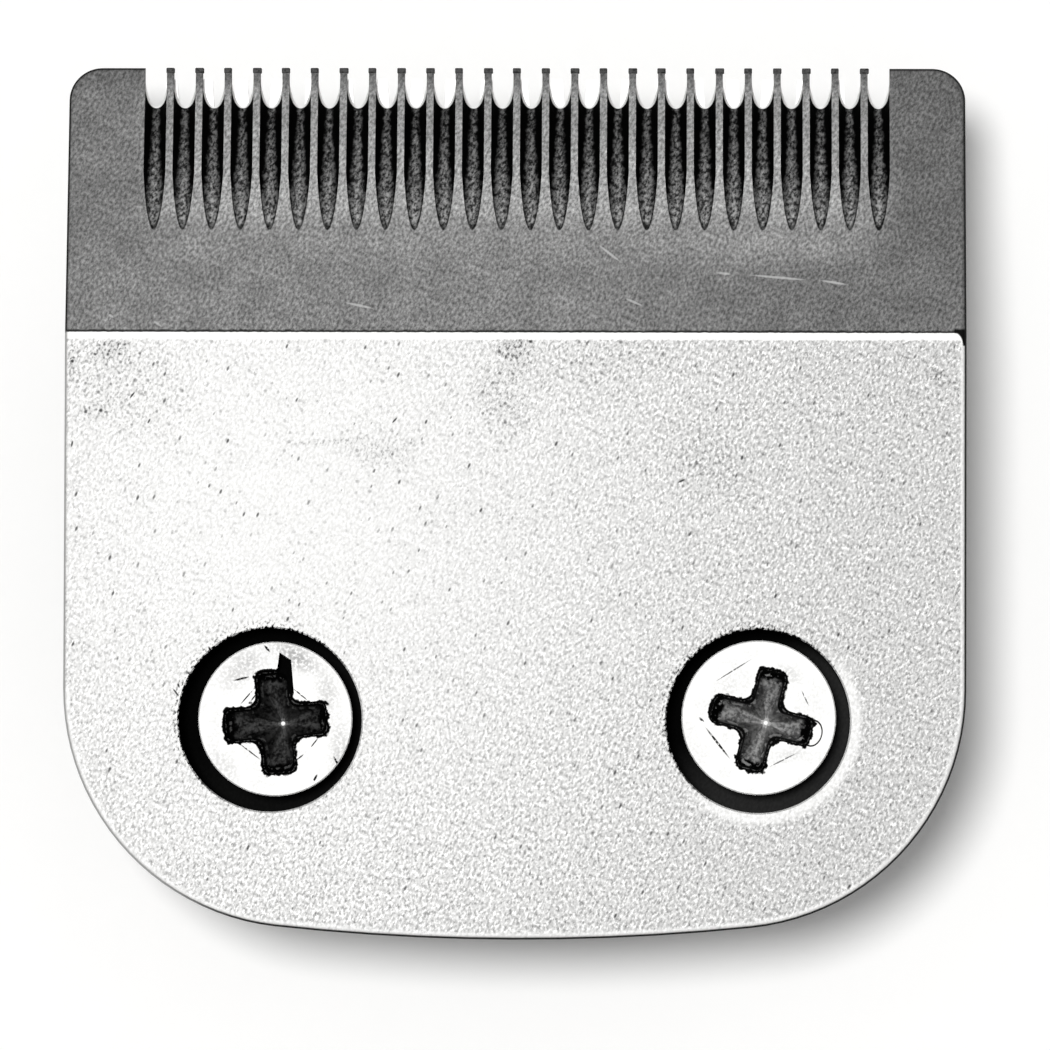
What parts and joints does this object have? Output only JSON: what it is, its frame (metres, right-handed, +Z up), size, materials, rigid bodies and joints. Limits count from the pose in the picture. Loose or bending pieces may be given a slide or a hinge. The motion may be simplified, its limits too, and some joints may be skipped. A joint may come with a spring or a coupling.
{
  "type": "hair clipper blade",
  "caption": "Detachable hair clipper blade set: bevelled comb plate with ground teeth, sliding toothed cutter, nylon guide, leaf spring and hinge socket, clamped by cross-recess screws.",
  "frame": {"origin": "centre of the footprint at the bottom, on the outer face of the socket's bridge, which lies on the ground", "axes": "+X along the cutter's stroke, +Y towards the tooth tips, +Z up, out of the skin face"},
  "size_m": [0.045, 0.0436, 0.012],
  "materials": {
    "comb_steel": "satin plated and ground",
    "cutter_steel": "ground",
    "guide_nylon": "moulded",
    "spring_steel": "rolled spring strip",
    "socket_steel": "nickel plated sheet",
    "screw_steel": "zinc plated"
  },
  "bodies": {
    "blade_frame": {"comb_blade": "comb_steel", "blade_guide": "guide_nylon", "tension_spring": "spring_steel", "socket": "socket_steel", "screw_left": "screw_steel", "screw_right": "screw_steel"},
    "cutter": {"cutter_blade": "cutter_steel"}
  },
  "joints": [
    {"name": "cutter_slide", "type": "slide", "parent": "blade_frame", "child": "cutter", "axis": [1, 0, 0], "range_m": [-0.00087, 0.00213]}
  ]
}
